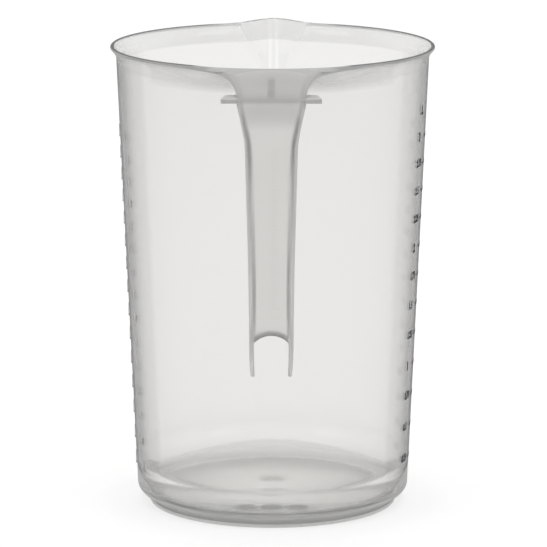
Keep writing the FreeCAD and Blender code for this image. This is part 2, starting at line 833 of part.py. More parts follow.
def litre_scale_print(doc):
    # Printed lines at every quarter litre, lying on the outside of the wall.
    body = scale_body(doc, "litre_scale_print", "dims.ink_azimuth")
    for mark in range(1, INK_MARKS + 1):
        low = mark_height(f"{mark} * dims.ink_step")
        high = f"({low} + dims.ink_line)"
        line = Outline(body, "InkSection", "XZ_Plane").closed(
            [
                (wall_radius(low), low),
                (f"({wall_radius(low)} + dims.ink_thickness)", low),
                (f"({wall_radius(high)} + dims.ink_thickness)", high),
                (wall_radius(high), high),
            ]
        )
        turned(body, "Revolution", "InkLine", line, "dims.ink_turn * 1 deg")


def relief_scale(doc, label, azimuth):
    # Raised marks whose outer faces are upright, so that the mould draws off them.
    body = scale_body(doc, label, azimuth)
    for mark in range(1, RELIEF_MARKS + 1):
        low = mark_height(f"{mark} * dims.relief_step")
        high = f"({low} + dims.relief_rise)"
        face = f"({wall_radius(high)} + dims.relief_proud)"
        wedge = Outline(body, "MarkSection", "XZ_Plane").closed(
            [(wall_radius(low), low), (face, low), (face, high), (wall_radius(high), high)]
        )
        turned(body, "Revolution", "Mark", wedge, "dims.relief_turn * 1 deg")


def export(doc):
    os.makedirs("parts", exist_ok=True)
    for thing in doc.Objects:
        if {"Invalid", "Error"} & set(thing.State):
            raise RuntimeError(f"{thing.Name}: {thing.State}")
    for body in doc.findObjects("PartDesign::Body"):
        shape = body.Shape
        if shape.isNull() or not shape.isValid() or not shape.Solids:
            raise RuntimeError(f"{body.Label} has no sound solid")
        box = shape.BoundBox
        print(f"{body.Label}: {len(shape.Solids)} solids, {shape.Volume:.1f} mm3,", end=" ")
        print(f"x {box.XMin:.1f}..{box.XMax:.1f} y {box.YMin:.1f}..{box.YMax:.1f}", end=" ")
        print(f"z {box.ZMin:.1f}..{box.ZMax:.1f}")
        shape.exportStep(f"parts/{body.Label}.step")


def main():
    doc = FreeCAD.newDocument("measuring_jug")
    fill_sheet(doc)

    vessel_wall(doc)
    base_heel(doc)
    floor_panel(doc)
    foot_ring(doc)
    gate_stub(doc)
    mould_insert_discs(doc)
    rim_lip(doc)
    pouring_spout(doc)

    handle_shoulder(doc)
    shoulder_side(doc, "shoulder_side_left", -1)
    shoulder_side(doc, "shoulder_side_right", 1)
    shoulder_rib(doc)
    stop_plate(doc)
    grip_web(doc)
    grip_flange(doc, "grip_flange_left", -1)
    grip_flange(doc, "grip_flange_right", 1)
    grip_end_shelf(doc)

    grip_tick_scale(doc)
    litre_scale_print(doc)
    relief_scale(doc, "relief_scale_left", "dims.relief_left_azimuth")
    relief_scale(doc, "relief_scale_right", "dims.relief_right_azimuth")

    doc.recompute()
    export(doc)


main()
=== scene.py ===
import math

import bmesh
import bpy
import numpy as np
from mathutils import Matrix, Vector


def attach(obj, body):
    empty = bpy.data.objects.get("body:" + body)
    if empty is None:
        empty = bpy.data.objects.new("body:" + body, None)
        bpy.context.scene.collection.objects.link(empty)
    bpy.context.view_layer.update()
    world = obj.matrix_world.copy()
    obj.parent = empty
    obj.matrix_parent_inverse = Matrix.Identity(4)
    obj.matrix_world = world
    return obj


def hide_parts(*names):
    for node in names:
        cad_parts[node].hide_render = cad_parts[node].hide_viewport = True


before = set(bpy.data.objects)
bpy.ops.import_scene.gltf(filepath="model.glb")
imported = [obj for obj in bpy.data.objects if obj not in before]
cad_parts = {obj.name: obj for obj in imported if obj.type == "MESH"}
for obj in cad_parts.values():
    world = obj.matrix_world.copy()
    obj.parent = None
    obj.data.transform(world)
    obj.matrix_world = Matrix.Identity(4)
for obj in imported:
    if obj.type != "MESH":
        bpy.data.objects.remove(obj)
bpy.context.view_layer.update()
scene = bpy.context.scene
mm = 0.001
print("frame loaded:", len(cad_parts), "nodes")


def plug(tree, place, value):
    if isinstance(value, Wire):
        tree.links.new(value.socket, place)
    else:
        place.default_value = (*value, 1.0) if place.type == "RGBA" else value


def operator(operation):
    return lambda wire, other: wire.maths(operation, other)


class Wire:
    # a socket that takes part in arithmetic: each operator adds its Math node
    def __init__(self, tree, socket):
        self.tree, self.socket = tree, socket

    def maths(self, operation, *others):
        node = self.tree.nodes.new("ShaderNodeMath")
        node.operation = operation
        for place, value in zip(node.inputs, (self, *others)):
            plug(self.tree, place, value)
        return Wire(self.tree, node.outputs[0])

    __add__ = __radd__ = operator("ADD")
    __mul__ = __rmul__ = operator("MULTIPLY")
    __sub__, __truediv__, __pow__ = operator("SUBTRACT"), operator("DIVIDE"), operator("POWER")

    def __rsub__(self, other):
        return self.maths("MULTIPLY", -1.0).maths("ADD", other)

    def __rtruediv__(self, other):
        return self.maths("POWER", -1.0).maths("MULTIPLY", other)


class Nodes:
    # every node that isn't plain arithmetic comes from add: settings first, then sockets, i0 for the first of them
    def __init__(self, tree):
        self.tree = tree

    def add(self, kind, settings=None, output=0, **sockets):
        node = self.tree.nodes.new(kind)
        for name, value in (settings or {}).items():
            setattr(node, name, value)
        for name, value in sockets.items():
            place = int(name[1:]) if name[1:].isdigit() else name.replace("_", " ")
            plug(self.tree, node.inputs[place], value)
        return Wire(self.tree, node.outputs[output]) if node.outputs else None

    def join(self, *parts):
        node = self.tree.nodes.new("GeometryNodeJoinGeometry")
        for part in parts:
            self.tree.links.new(part.socket, node.inputs[0])
        return Wire(self.tree, node.outputs[0])

    def split(self, vector):
        node = self.tree.nodes.new("ShaderNodeSeparateXYZ")
        plug(self.tree, node.inputs[0], vector)
        return [Wire(self.tree, socket) for socket in node.outputs]

    def vector(self, **parts):
        return self.add("ShaderNodeCombineXYZ", **parts)

    def blended(self, share, first, second):
        return self.add("ShaderNodeMix", {"data_type": "RGBA"}, output=2, i0=share, i6=first, i7=second)


def newMaterial(name):
    material = bpy.data.materials.new(name)
    material.use_nodes = True
    material.node_tree.nodes.clear()
    return material, Nodes(material.node_tree)


def rising(value, low, high):
    # 0 below low, 1 above high
    return ((value - low) / (high - low)).maths("MAXIMUM", 0.0).maths("MINIMUM", 1.0)


polypropylene = {
    # what passes through
    "tint": (0.955, 0.95, 0.94),
    "gripTint": (0.955, 0.948, 0.94),
    "insertTint": (0.66, 0.66, 0.655),
    "depthTint": (0.80, 0.80, 0.80),
    "depthDensity": 60.0,
    "ior": 1.49,
    # what scatters back
    # a dark grey haze; at slant edges it is painted shade
    "hazeAndEdgeShade": (0.32, 0.32, 0.315),
    "paleHaze": (0.64, 0.64, 0.635),  # lip, handle and heel
    # painted light: the far half of the lip is paler than the near half
    "farLipPaintedLight": (0.95, 0.95, 0.94),
    "gripHaze": (0.665, 0.658, 0.645),
    "whitePaintedLight": (1.0, 1.0, 0.995),  # painted light, a white haze under the lip and along the grip's inner corners
    "basePaintedLight": (0.88, 0.88, 0.87),  # painted light on the heel's upper part and the foot ring
    "basePaintedShade": (0.62, 0.62, 0.615),  # painted shade in the groove between them
    "lipBandShade": (0.56, 0.56, 0.555),  # painted shade along the lip itself
    # painted light on the pitcher's floor, and painted shade towards its front
    "floorPaintedLight": (0.95, 0.95, 0.94),
    "floorFrontShade": (0.82, 0.82, 0.81),
    "insertHaze": (0.50, 0.50, 0.495),
    "crestLineShade": (0.20, 0.20, 0.20),  # painted shade, a dark line along the crest of the lip
    # painted shade: share of the dark haze grey laid over the shoulder rib
    "ribShare": 0.3,
    # shares of the light that scatter
    "haze": 0.012,  # everywhere, where the plastic faces the eye
    "shares": {
        "grip": 0.03,
        "shoulder": 0.55,
        "heel": 0.09,
        "flare": 0.02,
        "spout": 0.06,
        "line": 0.85,
        "band": 0.6,
        "insert": 0.3,
        "base": 0.7,
        "floor": 0.42,
        "flange": 0.3,
    },
    # shares of the painted light under the lip, on the handle's side and on the far side
    "underLipNear": 0.52,
    "underLipFar": 0.2,
    "wallEdge": 0.045,  # painted shade, where the wall is seen at so great a slant that it looks thick
    "heelEdge": 0.25,
    "edgeTurn": (0.465, 0.485),
    "edgeShadeShare": 1.0,  # painted shade at the greatest slant
    "edgePower": 5.0,
    "floorEdge": 0.12,  # the part of it that the floor has
    "gripEdgeLoss": 0.2,
    "mostHaze": 0.9,
    # gloss and relief
    "roughness": 0.045,
    "gripRoughness": 0.34,
    "insertRoughness": 0.45,
    "cornerRoughness": 0.32,
    "hazyRoughness": 0.5,
    "roughnessSpread": 0.03,
    "rippleScale": 55.0,
    "rippleHeight": 0.00005,
    "grainScale": 900.0,
    "grainHeight": 0.00001,
}
# Where the moulding's portions lie, in metres: heights, and distances from the axis (reach) or middle plane (aside).
# A pair says where a mask starts and where it is full.
portions = {
    "handleSide": -0.05,
    "spoutSide": 0.06,
    "gripReach": (0.08525, 0.08775),
    "shoulder": (0.2120, 0.2205),
    "ribAside": (0.0014, 0.0022),
    "ribFoot": (0.2265, 0.2285),
    "ribTop": (0.2345, 0.2360),
    "flangeAside": (0.0078, 0.0090),
    "flangeOuter": (0.0096, 0.0106),
    "flangeTop": (0.185, 0.205),
    "flare": (0.2272, 0.2275),
    "flareCentre": (0.08707, 0.2298),  # reach and height
    "flareRadius": 0.00845,
    "spoutHalf": (0.0173, 0.236, 0.47),  # aside at this height, and how fast that shrinks below it
    "spoutSoft": (-0.001, 0.001),
    "lip": (0.2349, 0.2355),
    "lipPale": (0.228, 0.233),
    "crest": (0.2383, 0.000026, 0.0145, 0.002),  # the lip's upper line, which dips towards the handle
    "crestBand": (-0.0025, -0.0021),
    "crestTop": (0.0, 0.0003),
    "crestInner": (0.0165, 0.0175),
    "crestOuter": (0.042, 0.05),
    "underLip": (0.2275, 0.2285),
    "underLipNear": (0.004, 0.0095),  # starts and ends so much lower and higher on the handle's side
    "underLipAside": (0.035, 0.074),
    "lineHeight": 0.2367,
    "lineReach": 0.0834,
    "lineAside": (0.019, 0.034),
    "heelTop": 0.0143,
    "heelDip": (0.0041, 0.01, 0.058),  # how much lower, and from where to where aside
    "heelRise": (0.0088, 0.06, 0.0695),
    "heelSoft": (-0.0002, 0.0002),
    "base": (0.003, 0.008),
    "baseReach": (0.0585, 0.061),
    "baseLoss": (0.8, -0.01, 0.03),  # how much weaker the base's painted light and shade is, and from where to where towards the spout
    "groove": (0.0022, 0.008),
    "grooveFoot": 0.00155,
    "corner": (0.010, 0.0135),
    "cornerReach": (0.0575, 0.0600),
    "floorTop": 0.0105,
    "floorReach": 0.0588,
    "floorFrontShade": (-0.05, -0.02),
    "insert": (0.0129, -0.0495),  # pitch and offset of the insert discs
    "insertRadius": 0.0058,
    "insertLow": 0.0068,
    "insertHigh": 0.0095,
    "wallReach": 0.066,
}


def plasticMasks(nodes, place, zone):
    # 1 on a portion of the moulding and 0 off it
    def over(value, name):
        return rising(value, *zone[name])

    def under(value, name):
        return 1.0 - over(value, name)

    def above(value, name):
        return value.maths("GREATER_THAN", zone[name])

    def below(value, name):
        return value.maths("LESS_THAN", zone[name])

    x, y, z = nodes.split(place)
    aside = x.maths("ABSOLUTE")
    reach = (x * x + y * y).maths("SQRT")
    near, atSpout = below(y, "handleSide"), above(y, "spoutSide")

    grip = over(reach, "gripReach") * near
    shoulder = grip * over(z, "shoulder")
    rib = shoulder * under(aside, "ribAside") * over(z, "ribFoot") * under(z, "ribTop")
    flange = grip * over(aside, "flangeAside") * under(z, "flangeTop")

    flare = over(z, "flare")
    half, height, taper = zone["spoutHalf"]
    spout = flare * atSpout * under(aside - (half - (height - z) * taper), "spoutSoft")
    across, up = zone["flareCentre"]
    fromFlare = ((reach - across) ** 2 + (z - up) ** 2).maths("SQRT")
    outerLip = over(z, "lip") * below(fromFlare, "flareRadius") * (1.0 - spout)
    top, dip, start, least = zone["crest"]
    fromCrest = z - (top - dip / (aside - start).maths("MAXIMUM", least))
    sweep = near * over(fromCrest, "crestBand") * under(fromCrest, "crestTop")
    band = outerLip.maths("MAXIMUM", sweep * over(aside, "crestInner") * under(aside, "crestOuter"))
    low, high = zone["underLip"]
    lower, higher = zone["underLipNear"]
    underLip = rising(z + near * lower, low, high + near * higher) * under(aside, "underLipAside")
    lip = over(z, "lipPale")

    dip, *dipAside = zone["heelDip"]
    rise, *riseAside = zone["heelRise"]
    heelLine = zone["heelTop"] - dip * rising(aside, *dipAside) + rise * rising(aside, *riseAside)
    heel = under(z - heelLine, "heelSoft")
    loss, *behind = zone["baseLoss"]

    pitch, offset = zone["insert"]
    column = (x / pitch).maths("ROUND").maths("MAXIMUM", -1.0).maths("MINIMUM", 1.0) * pitch
    fromInsert = ((x - column) ** 2 + (y - offset) ** 2).maths("SQRT")
    return dict(
        near=near, grip=grip, shoulder=shoulder, rib=rib, flange=flange, flare=flare, spout=spout, band=band, heel=heel,
        flangeCorner=flange * under(aside, "flangeOuter"),
        underLip=underLip * (1.0 - grip) * (1.0 - band),
        farLip=lip * y.maths("GREATER_THAN", 0.0),
        line=above(z, "lineHeight") * below(reach, "lineReach") * (1.0 - atSpout * under(aside, "lineAside")),
        pale=grip.maths("MAXIMUM", lip).maths("MAXIMUM", heel),
        # where the base's painted light and shade lie, mostly on the near side
        base=under(z, "base") * over(reach, "baseReach") * (1.0 - loss * rising(y, *behind)),
        groove=under(z, "groove") * above(z, "grooveFoot"),
        corner=under(z, "corner") * over(reach, "cornerReach"),
        floor=below(z, "floorTop") * below(reach, "floorReach"),
        floorBehind=over(y, "floorFrontShade"),
        insert=below(fromInsert, "insertRadius") * above(z, "insertLow") * below(z, "insertHigh"),
        wall=above(reach, "wallReach"),
    )


def scatterColour(nodes, look, on):
    # each layer covers the ones before it; the far lip, under-lip, grip corner, base, lip band, floor, crest line and
    # rib layers are painted light and shade
    base = nodes.blended(on["groove"], look["basePaintedLight"], look["basePaintedShade"])
    floor = nodes.blended(on["floorBehind"], look["floorFrontShade"], look["floorPaintedLight"])
    colour = look["hazeAndEdgeShade"]
    for share, layer in (
        (on["pale"], look["paleHaze"]),
        (on["farLip"], look["farLipPaintedLight"]),
        (on["grip"], look["gripHaze"]),
        (on["rib"] * look["ribShare"], look["hazeAndEdgeShade"]),
        (on["flangeCorner"], look["whitePaintedLight"]),
        (on["base"].maths("GREATER_THAN", 0.01), base),
        (on["underLip"], look["whitePaintedLight"]),
        (on["band"], look["lipBandShade"]),
        (on["floor"], floor),
        (on["insert"], look["insertHaze"]),
        (on["line"], look["crestLineShade"]),
    ):
        colour = nodes.blended(share, colour, layer)
    return colour


def scatterShare(nodes, look, on):
    haze = on["underLip"] * (look["underLipFar"] + on["near"] * (look["underLipNear"] - look["underLipFar"]))
    haze = haze + look["haze"]
    for portion, share in look["shares"].items():
        haze = haze + on[portion] * share
    slant = nodes.add("ShaderNodeLayerWeight", output=1, Blend=0.5)
    # painted shade: more haze mixed in by slant on the wall and heel, and at every edge
    slantShade = rising(slant, *look["edgeTurn"]) * on["wall"] * (look["wallEdge"] + on["heel"] * look["heelEdge"])
    edge = look["edgeShadeShare"] * slant ** look["edgePower"] * (1.0 - on["grip"] * look["gripEdgeLoss"])
    edge = edge * (1.0 - on["floor"] * (1.0 - look["floorEdge"]))
    return (haze + slantShade + edge).maths("MINIMUM", look["mostHaze"])


def polypropyleneMaterial(name, look, zone):
    # clear where it faces the eye, frosted where it is thick or worn by the mould, with painted shade where it is seen
    # at a slant and painted light and shade in bands on the lip, base and floor
    material, nodes = newMaterial(name)
    place = nodes.add("ShaderNodeTexCoord", output=3)
    on = plasticMasks(nodes, place, zone)
    ripple = nodes.add("ShaderNodeTexNoise", Vector=place, Scale=look["rippleScale"], Detail=2.0, Roughness=0.45)
    grain = nodes.add("ShaderNodeTexNoise", Vector=place, Scale=look["grainScale"], Detail=3.0, Roughness=0.6)
    relief = ripple * look["rippleHeight"] + grain * look["grainHeight"]
    bump = nodes.add("ShaderNodeBump", Strength=1.0, Distance=1.0, Height=relief)
    roughness = look["roughness"] + (ripple + grain - 1.0) * look["roughnessSpread"]
    for portion in ("grip", "insert", "corner"):
        roughness = roughness + on[portion] * (look[portion + "Roughness"] - look["roughness"])
    tint = nodes.blended(on["grip"], look["tint"], look["gripTint"])
    clear = nodes.add(
        "ShaderNodeBsdfPrincipled",
        Base_Color=nodes.blended(on["insert"], tint, look["insertTint"]),
        Roughness=roughness, IOR=look["ior"], Transmission_Weight=1.0, Normal=bump,
    )
    hazy = nodes.add(
        "ShaderNodeBsdfPrincipled",
        Base_Color=scatterColour(nodes, look, on),
        Roughness=look["hazyRoughness"], IOR=look["ior"], Normal=bump,
    )
    shader = nodes.add("ShaderNodeMixShader", Fac=scatterShare(nodes, look, on), i1=clear, i2=hazy)
    inside = nodes.add("ShaderNodeVolumeAbsorption", Color=look["depthTint"], Density=look["depthDensity"])
    nodes.add("ShaderNodeOutputMaterial", Surface=shader, Volume=inside)
    return material


scaleInk = {
    "colour": (0.035, 0.036, 0.04),
    "worn": (0.10, 0.10, 0.105),
    "blotchScale": 700.0,
    "roughness": 0.55,
    "roughnessSpread": 0.15,
    "gloss": 0.08,
    "grain": (0.4, 0.00005),  # strength and height
}


def inkMaterial(name, look):
    material, nodes = newMaterial(name)
    place = nodes.add("ShaderNodeTexCoord", output=3)
    blotch = nodes.add("ShaderNodeTexNoise", Vector=place, Scale=look["blotchScale"], Detail=4.0, Roughness=0.6)
    strength, height = look["grain"]
    shader = nodes.add(
        "ShaderNodeBsdfPrincipled",
        Base_Color=nodes.blended(blotch * blotch, look["colour"], look["worn"]),
        Roughness=look["roughness"] + blotch * look["roughnessSpread"],
        Specular_IOR_Level=look["gloss"],
        Normal=nodes.add("ShaderNodeBump", Strength=strength, Distance=height, Height=blotch),
    )
    nodes.add("ShaderNodeOutputMaterial", Surface=shader)
    return material


clearMoulding = polypropyleneMaterial("clearMoulding", polypropylene, portions)
inkFinish = inkMaterial("scaleInkFinish", scaleInk)
print("materials ready")


def meshOf(name, points, faces):
    mesh = bpy.data.meshes.new(name)
    mesh.from_pydata([tuple(p) for p in points], [], faces)
    mesh.update()
    return mesh


def placed(name, data):
    thing = bpy.data.objects.new(name, data)
    scene.collection.objects.link(thing)
    return thing


def plainMesh(thing):
    # what a curve or a stack of modifiers makes; the object itself goes
    mesh = bpy.data.meshes.new_from_object(thing.evaluated_get(bpy.context.evaluated_depsgraph_get()))
    bpy.data.objects.remove(thing)
    return mesh


def finished(thing):
    name = thing.name
    mesh = plainMesh(thing)
    mesh.name = name
    return placed(name, mesh)


def recalculated(thing):
    # doubles merged, faces turned outwards
    work = bmesh.new()
    work.from_mesh(thing.data)
    bmesh.ops.remove_doubles(work, verts=work.verts, dist=1e-7)
    bmesh.ops.recalc_face_normals(work, faces=work.faces)
    work.to_mesh(thing.data)
    work.free()
    return thing


def smoothBelow(thing, degrees):
    thing.data.shade_smooth()
    thing.data.set_sharp_from_angle(angle=math.radians(degrees))


def geometryTree(name, sizes):
    # a tree with one named input for each size
    tree = bpy.data.node_groups.new(name, "GeometryNodeTree")
    tree.interface.new_socket("Geometry", in_out="INPUT", socket_type="NodeSocketGeometry")
    tree.interface.new_socket("Geometry", in_out="OUTPUT", socket_type="NodeSocketGeometry")
    for label, value in sizes.items():
        kind = "Int" if isinstance(value, int) else "Float" if isinstance(value, float) else "Material"
        tree.interface.new_socket(label, in_out="INPUT", socket_type="NodeSocket" + kind)
    start = tree.nodes.new("NodeGroupInput")
    wires = {socket.name: Wire(tree, socket) for socket in start.outputs if socket.name}
    return Nodes(tree), wires


def closeTree(nodes, geometry, material):
    # everything inside is in millimetres until here
    real = nodes.add("GeometryNodeRealizeInstances", Geometry=geometry)
    metres = nodes.add("GeometryNodeTransform", Geometry=real, Scale=(mm, mm, mm))
    coated = nodes.add("GeometryNodeSetMaterial", Geometry=metres, Material=material)
    end = nodes.tree.nodes.new("NodeGroupOutput")
    plug(nodes.tree, end.inputs[0], coated)


def grown(name, start, nodes, sizes):
    thing = placed(name, start)
    modifier = thing.modifiers.new("Grow", "NODES")
    modifier.node_group = nodes.tree
    for item in nodes.tree.interface.items_tree:
        if item.in_out == "INPUT" and item.name in sizes:
            modifier[item.identifier] = sizes[item.name]
    return finished(thing)


vessel = {
    "Columns": 288,
    "Crowding": 0.3,  # draws the columns together at the spout and at the handle
    "Wall": 1.9,
    "Spout Low": 197.0,
    "Spout Height": 41.0,
    "Spout Inner Turn": 0.05,  # the rim drops between these, radians from the spout
    "Spout Outer Turn": 0.36,
    "Flute Start": 57.7,
    "Flute Growth": 12.0,
    "Flute Lean": 0.62,  # the straight part of the growth; the rest bends outwards
    "Nose Softness": 0.045,
    "Crease Softness": 0.6,
    "Rim Drop": 0.85,  # the rim lies below the spout's lip and the handle's crest
    "Drop Start": 226.0,
    "Drop End": 236.5,
    "Saddle Inner Turn": 14.0,  # degrees from the handle
    "Saddle Outer Turn": 34.0,
    "Seam": 0.002,
    "Finish": clearMoulding,
}
vesselProfile = {
    "baseRadius": 69.4,
    "mouthRadius": 79.9,
    "height": 238.0,
    "gateStub": [(0.0, 6.1), (1.3, 6.1), (1.7, 6.3), (1.9, 6.95)],
    "underside": (7.0, 2.6, 57.3),  # height in the middle, and how much lower at this radius
    "undersideRadii": (3, 6, 10, 16, 24, 32, 40, 48, 54, 58),
    "footInside": [(58.6, 3.9), (58.6, 0.9), (58.9, 0.2), (59.5, 0.0)],
    "footRing": (63.4, 1.45),
    "footRounds": (0.4, 0.35),
    "footGroove": [(-1.1, 0.25), (-0.95, 0.75)],  # from the foot ring's upper edge
    "heelHeight": 10.0,
    "heelRound": (7.0, 6.0, 75.0),  # inwards, downwards and how far round
    "partingLine": 19.7,
    "outerHeights": (24, 60, 100, 140, 170, 190, 198, 204, *range(208, 229, 2)),
    "innerHeights": (*range(228, 207, -2), 204, 198, 190, 170, 140, 100, 60, 30, 18),
    "innerHeel": (8.8, 3.2, 9.9),  # inwards, downwards and how high it starts
    "crown": (9.2, 2.5),  # the floor's height in the middle and how much lower at the heel
    "crownRadii": (54, 48, 40, 32, 24, 18, 14, 11),
    "gateDish": [
        (8, 9.06), (6.4, 8.98), (5.2, 8.8), (4.4, 8.5), (3.6, 8.32), (2.4, 8.24), (1.2, 8.21), (0.0, 8.2),
    ],
    "flareRadius": 7.5,
    "flareTurn": 50.0,
    "upperStart": 150,  # the spout may push out what is above
    "saddleLow": 213.0,
    "saddleRadius": 88.0,
    "saddleTop": 237.35,
    "crestRadius": 85.6,
    "litreDatum": 5.8,  # height that the litres are counted from
    "sharpEdge": 32,
}


def arcPoints(centre, radius, fromDegrees, toDegrees, steps):
    turns = np.radians(np.linspace(fromDegrees, toDegrees, steps + 1))
    return [(centre[0] + radius * math.cos(t), centre[1] + radius * math.sin(t)) for t in turns]


def quarter(start, end, share):
    # on the quarter of an ellipse that leaves start upright and comes level to end
    swing = math.pi / 2 * share
    return (start[0] + (end[0] - start[0]) * (1 - math.cos(swing)), start[1] + (end[1] - start[1]) * math.sin(swing))


def wallSlope():
    return (vesselProfile["mouthRadius"] - vesselProfile["baseRadius"]) / vesselProfile["height"]


def outerRadius(z):
    return vesselProfile["baseRadius"] + wallSlope() * z


def vesselSection(sizes, wall):
    # from the middle of the underside out, up, over the rim and back down inside, with the lip's first and last place
    middle, fall, atRadius = sizes["underside"]
    rows = sizes["gateStub"] + [(r, middle - fall * (r / atRadius) ** 2) for r in sizes["undersideRadii"]]
    rows += sizes["footInside"]
    foot, footTop = sizes["footRing"]
    low, high = sizes["footRounds"]
    rows += arcPoints((foot - low, low), low, -90, 0, 4) + arcPoints((foot - high, footTop - high), high, 0, 80, 3)
    rows += [(foot + across, footTop + up) for across, up in sizes["footGroove"]]
    inwards, downwards, bent = sizes["heelRound"]
    heelX = outerRadius(sizes["heelHeight"]) - inwards
    circle = arcPoints((0.0, 0.0), 1.0, -bent, 0, 12)
    rows += [(heelX + r * inwards, sizes["heelHeight"] + z * downwards) for r, z in circle]
    seam = sizes["partingLine"]
    rows += [(outerRadius(seam) - 0.12, seam - 0.15), (outerRadius(seam), seam + 0.05)]
    rows += [(outerRadius(z), z) for z in sizes["outerHeights"]]

    half, bend, degrees = wall / 2, sizes["flareRadius"], sizes["flareTurn"]
    turn, reach = math.radians(degrees), bend + half
    flareLow = sizes["height"] - half - reach * math.sin(turn)
    flareCentre = (outerRadius(flareLow) + bend, flareLow)
    rows += arcPoints(flareCentre, bend, 180, 180 - degrees, 8)
    lipFirst = len(rows)
    lip = (flareCentre[0] - reach * math.cos(turn), flareCentre[1] + reach * math.sin(turn))
    rows += arcPoints(lip, half, -degrees, 180 - degrees, 8)[1:]
    lipLast = len(rows)
    rows += arcPoints(flareCentre, bend + wall, 180 - degrees, 180, 8)[1:]
    rows += [(outerRadius(z) - wall, z) for z in sizes["innerHeights"]]

    inwards, downwards, start = sizes["innerHeel"]
    innerX = outerRadius(start) - wall - inwards
    rows += [(innerX + r * inwards, start + z * downwards) for r, z in arcPoints((0.0, 0.0), 1.0, 0, -90, 10)]
    crown, fall = sizes["crown"]
    rows += [(r, crown - fall * (r / innerX) ** 2) for r in sizes["crownRadii"]] + sizes["gateDish"]
    return rows, lipFirst, lipLast


def vesselRows(sizes, wall):
    # radius, height, skin (0 outside, 1 inside), upper (1 where the spout may push out), saddle radius, saddle height
    rows, lipFirst, lipLast = vesselSection(sizes, wall)
    low, top = sizes["saddleLow"], sizes["saddleTop"]
    foot = outerRadius(low)
    outerEnd, crest = (sizes["saddleRadius"], top - wall), (sizes["crestRadius"], top)
    table = []
    for place, (r, z) in enumerate(rows):
        skin = 0.0 if place < lipFirst else 1.0
        onLip = (place - lipFirst + 1) / (lipLast - lipFirst)
        if lipFirst <= place < lipLast:
            skin = (1 - math.cos(math.pi * onLip)) / 2
        saddle = (r, z)
        if z > low:
            if place < lipFirst:  # outside: runs out under the handle
                saddle = quarter((foot, low), outerEnd, (z - low) / (rows[lipFirst - 1][1] - low))
            elif place < lipLast:  # the rolled edge lies inside the handle's sheet
                saddle = (outerEnd[0] + (crest[0] - outerEnd[0]) * onLip, top - wall * (1 - onLip) ** 3)
            else:  # inside: from the crest down
                saddle = quarter((foot - wall, low), crest, (z - low) / (rows[lipLast - 1][1] - low))
        table.append((r, z, skin, float(z > sizes["upperStart"]), *saddle))
    return table


def vesselTree(sizes):
    nodes, size = geometryTree("revolvedVessel", sizes)
    profile = size["Geometry"]
    rows = nodes.add("GeometryNodeAttributeDomainSize", {"component": "MESH"}, Geometry=profile)
    columns = size["Columns"]
    grid = nodes.add("GeometryNodeMeshGrid", Size_X=columns, Size_Y=rows - 1, Vertices_X=columns + 1, Vertices_Y=rows)
    place = nodes.split(nodes.add("GeometryNodeInputPosition"))
    row = (place[1] + (rows - 1) / 2).maths("ROUND")
    turn = place[0] / columns * (2 * math.pi)
    azimuth = turn - size["Crowding"] * (turn * 2).maths("SINE")

    def sampled(attribute):
        value = nodes.add("GeometryNodeInputNamedAttribute", Name=attribute)
        return nodes.add("GeometryNodeSampleIndex", Geometry=profile, Value=value, Index=row)

    def smoothStep(value, low, high, first=0.0, last=1.0):
        return nodes.add(
            "ShaderNodeMapRange",
            {"interpolation_type": "SMOOTHSTEP"},
            Value=value, From_Min=low, From_Max=high, To_Min=first, To_Max=last,
        )

    radius, height = sampled("radius"), sampled("height")
    skin, upper = sampled("skin"), sampled("upper")
    fromSpout = azimuth.maths("COSINE").maths("ARCCOSINE")
    climb = (height - size["Spout Low"]) / size["Spout Height"]
    lifted = climb.maths("MAXIMUM", 0.0)
    lean = size["Flute Lean"]
    flute = size["Flute Start"] + size["Flute Growth"] * (lean * climb + (1.0 - lean) * lifted * lifted)
    soft = (fromSpout * fromSpout + size["Nose Softness"] ** 2).maths("SQRT").maths("MINIMUM", math.pi / 4)
    spout = flute / (soft + math.pi / 4).maths("SINE")
    full = radius + skin * size["Wall"]
    gap = full - spout
    joined = 0.5 * (full + spout + (gap * gap + size["Crease Softness"] ** 2).maths("SQRT")) - skin * size["Wall"]
    spread = radius + upper * (joined - radius)

    fromHandle = (math.pi - fromSpout) * (180 / math.pi)
    saddle = smoothStep(fromHandle, size["Saddle Inner Turn"], size["Saddle Outer Turn"], 1.0, 0.0)
    atSpout = smoothStep(fromSpout, size["Spout Inner Turn"], size["Spout Outer Turn"], 1.0, 0.0)
    nearTop = smoothStep(height, size["Drop Start"], size["Drop End"])
    lowered = height - size["Rim Drop"] * nearTop * (1.0 - atSpout)
    finalRadius = spread + saddle * (sampled("saddleRadius") - radius)
    where = nodes.vector(
        X=azimuth.maths("SINE") * finalRadius * -1.0,
        Y=azimuth.maths("COSINE") * finalRadius,
        Z=lowered + saddle * (sampled("saddleHeight") - lowered),
    )
    shaped = nodes.add("GeometryNodeSetPosition", Geometry=grid, Position=where)
    closed = nodes.add("GeometryNodeMergeByDistance", Geometry=shaped, Distance=size["Seam"])
    smooth = nodes.add("GeometryNodeSetShadeSmooth", Geometry=closed)
    closeTree(nodes, smooth, size["Finish"])
    return nodes


def vesselShell():
    table = vesselRows(vesselProfile, vessel["Wall"])
    start = meshOf("vesselSection", [(row[0], 0, row[1]) for row in table], [])
    for column, name in enumerate(("radius", "height", "skin", "upper", "saddleRadius", "saddleHeight")):
        attribute = start.attributes.new(name, "FLOAT", "POINT")
        attribute.data.foreach_set("value", [row[column] for row in table])
    return recalculated(grown("moulding", start, vesselTree(vessel), vessel))


